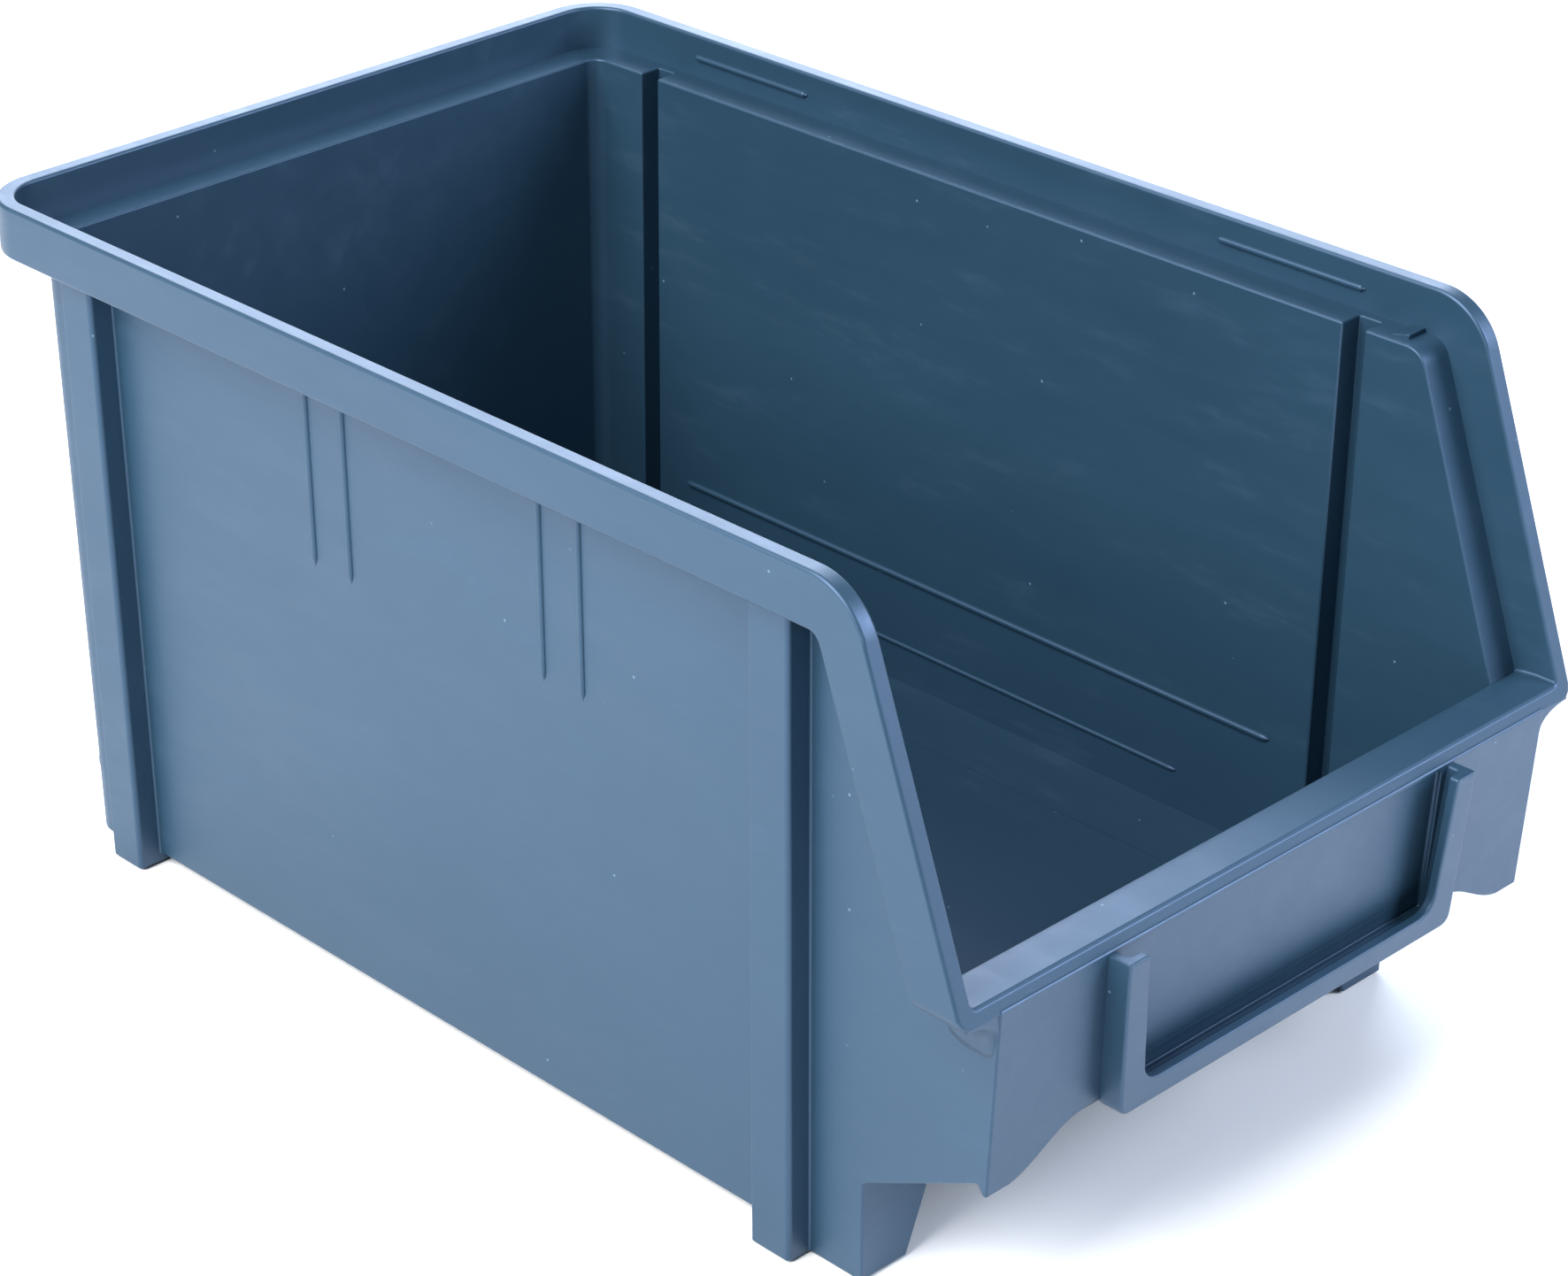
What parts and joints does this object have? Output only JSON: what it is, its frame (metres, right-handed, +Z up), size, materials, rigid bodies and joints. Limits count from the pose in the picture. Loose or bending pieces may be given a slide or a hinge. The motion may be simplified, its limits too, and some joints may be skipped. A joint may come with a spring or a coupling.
{
  "type": "open-front stacking storage bin",
  "caption": "Small open-front stacking storage bin with a stiff collar, an inner stacking ledge, hollow corner pillars, skirted feet and a label holder on the front wall.",
  "frame": {"origin": "centre of the footprint of the overall box, on the ground under the feet", "axes": "+Z up; -Y the open, low front with the label holder; +Y the rear wall; +X the bin's left-to-right width seen from the front"},
  "size_m": [0.145, 0.236, 0.124],
  "materials": {
    "polypropylene": "injection-moulded, satin"
  },
  "bodies": {
    "root": {"collar_bead_front_left": "polypropylene", "collar_bead_front_right": "polypropylene", "collar_bead_rear_left": "polypropylene", "collar_bead_rear_right": "polypropylene", "collar_bend_left": "polypropylene", "collar_bend_right": "polypropylene", "collar_corner_left": "polypropylene", "collar_corner_right": "polypropylene", "collar_rear": "polypropylene", "collar_side_left": "polypropylene", "collar_side_right": "polypropylene", "collar_slope_left": "polypropylene", "collar_slope_right": "polypropylene", "floor_pan": "polypropylene", "front_foot_left": "polypropylene", "front_foot_right": "polypropylene", "front_lip": "polypropylene", "front_pillar_left": "polypropylene", "front_pillar_right": "polypropylene", "front_quarter_left": "polypropylene", "front_quarter_right": "polypropylene", "front_ramp": "polypropylene", "front_riser": "polypropylene", "front_wall": "polypropylene", "label_arm_left": "polypropylene", "label_arm_right": "polypropylene", "label_sill": "polypropylene", "ledge_corner_left": "polypropylene", "ledge_corner_right": "polypropylene", "ledge_rear": "polypropylene", "ledge_side_left": "polypropylene", "ledge_side_right": "polypropylene", "ledge_slope_left": "polypropylene", "ledge_slope_right": "polypropylene", "ledge_stop_left": "polypropylene", "ledge_stop_right": "polypropylene", "lip_gusset_left": "polypropylene", "lip_gusset_right": "polypropylene", "rear_corner_left": "polypropylene", "rear_corner_right": "polypropylene", "rear_pillar_left": "polypropylene", "rear_pillar_right": "polypropylene", "rear_wall": "polypropylene", "side_panel_left": "polypropylene", "side_panel_right": "polypropylene", "side_rib_1_left": "polypropylene", "side_rib_1_right": "polypropylene", "side_rib_2_left": "polypropylene", "side_rib_2_right": "polypropylene", "side_rib_3_left": "polypropylene", "side_rib_3_right": "polypropylene", "side_rib_4_left": "polypropylene", "side_rib_4_right": "polypropylene", "skirt_web_left": "polypropylene", "skirt_web_right": "polypropylene", "wall_bead_lower_left": "polypropylene", "wall_bead_lower_right": "polypropylene", "wall_bead_upper_left": "polypropylene", "wall_bead_upper_right": "polypropylene"}
  },
  "joints": []
}
